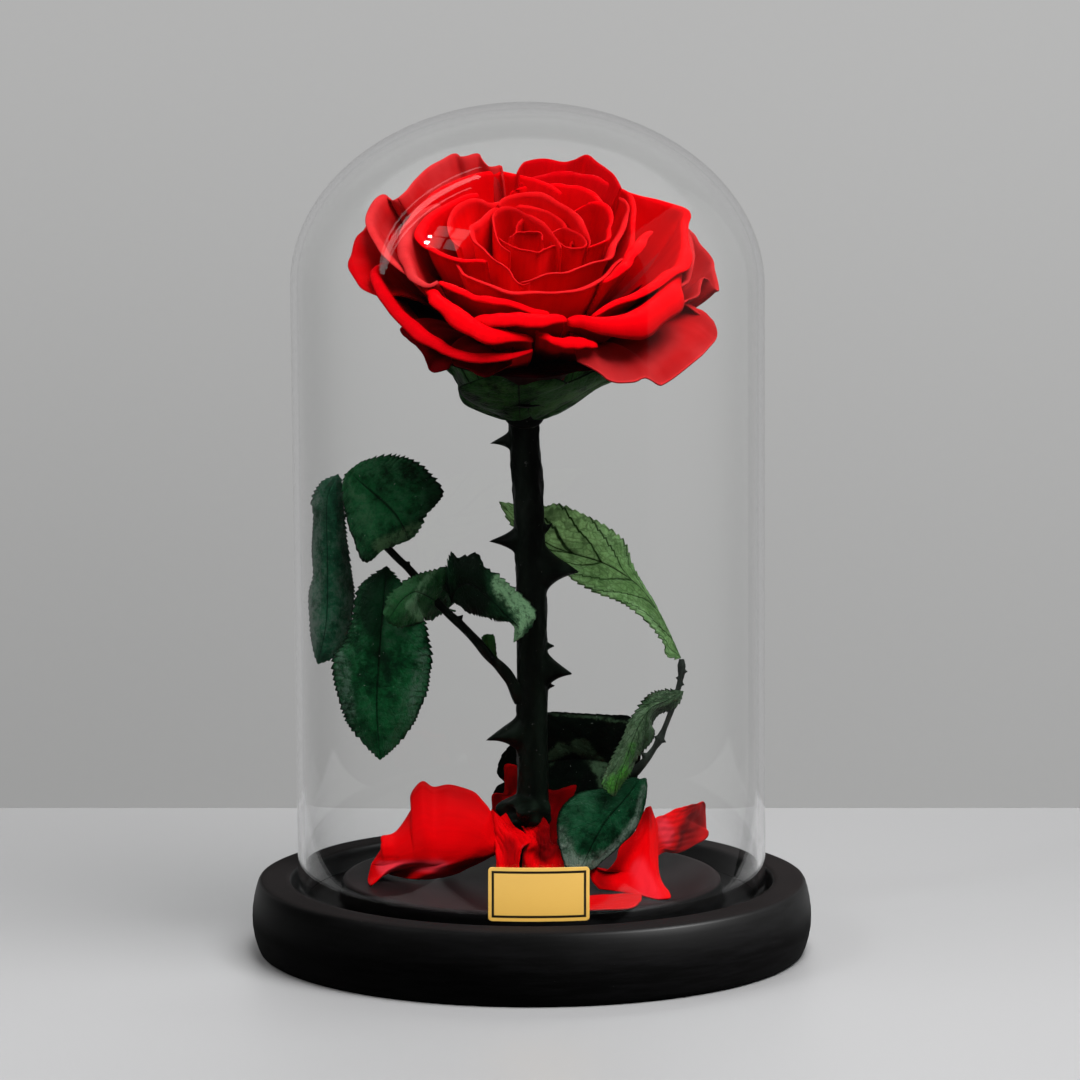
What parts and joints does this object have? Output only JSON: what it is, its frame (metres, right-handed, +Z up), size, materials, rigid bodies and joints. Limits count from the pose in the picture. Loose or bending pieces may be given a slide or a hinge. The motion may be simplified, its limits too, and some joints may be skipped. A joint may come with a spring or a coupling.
{
  "type": "preserved rose in a glass dome",
  "caption": "Open red rose on a thorny stem with dried leaves and fallen petals, on a turned black wooden base under a clear glass dome.",
  "frame": {"origin": "the middle of the base's underside", "axes": "+Z up along the dome, -Y towards the front with the plaque, +X to the right seen from the front"},
  "size_m": [0.19, 0.19, 0.2865],
  "materials": {
    "black_wood": "satin black lacquer with light dust",
    "clear_glass": "clear blown glass",
    "gilt": "satin gilt",
    "stem_bark": "dull dark green",
    "leaf_green": "dried leaf",
    "petal_red": "preserved petal, soft sheen"
  },
  "bodies": {
    "root": {"base": "black_wood", "fallen_petal_1": "petal_red", "fallen_petal_2": "petal_red", "fallen_petal_3": "petal_red", "fallen_petal_4": "petal_red", "fallen_petal_5": "petal_red", "fallen_petal_6": "petal_red", "fallen_petal_7": "petal_red", "glass_dome": "clear_glass", "leaf_left_curled": "leaf_green", "leaf_left_folded": "leaf_green", "leaf_left_hanging": "leaf_green", "leaf_left_outer": "leaf_green", "leaf_left_top": "leaf_green", "leaf_right_dark": "leaf_green", "leaf_right_folded": "leaf_green", "leaf_right_low": "leaf_green", "leaf_right_top": "leaf_green", "leaf_stalk_left": "stem_bark", "leaf_stalk_right": "stem_bark", "petal_01": "petal_red", "petal_02": "petal_red", "petal_03": "petal_red", "petal_04": "petal_red", "petal_05": "petal_red", "petal_06": "petal_red", "petal_07": "petal_red", "petal_08": "petal_red", "petal_09": "petal_red", "petal_10": "petal_red", "petal_11": "petal_red", "petal_12": "petal_red", "petal_13": "petal_red", "petal_14": "petal_red", "petal_15": "petal_red", "petal_16": "petal_red", "petal_17": "petal_red", "petal_18": "petal_red", "petal_19": "petal_red", "petal_20": "petal_red", "petal_21": "petal_red", "petal_22": "petal_red", "petal_23": "petal_red", "petal_24": "petal_red", "petal_25": "petal_red", "petal_26": "petal_red", "petal_27": "petal_red", "petal_28": "petal_red", "petal_29": "petal_red", "petal_30": "petal_red", "petal_31": "petal_red", "petal_32": "petal_red", "plaque": "gilt", "rose_hip": "leaf_green", "sepal_1": "leaf_green", "sepal_2": "leaf_green", "sepal_3": "leaf_green", "sepal_4": "leaf_green", "sepal_5": "leaf_green", "stem": "stem_bark"}
  },
  "joints": []
}
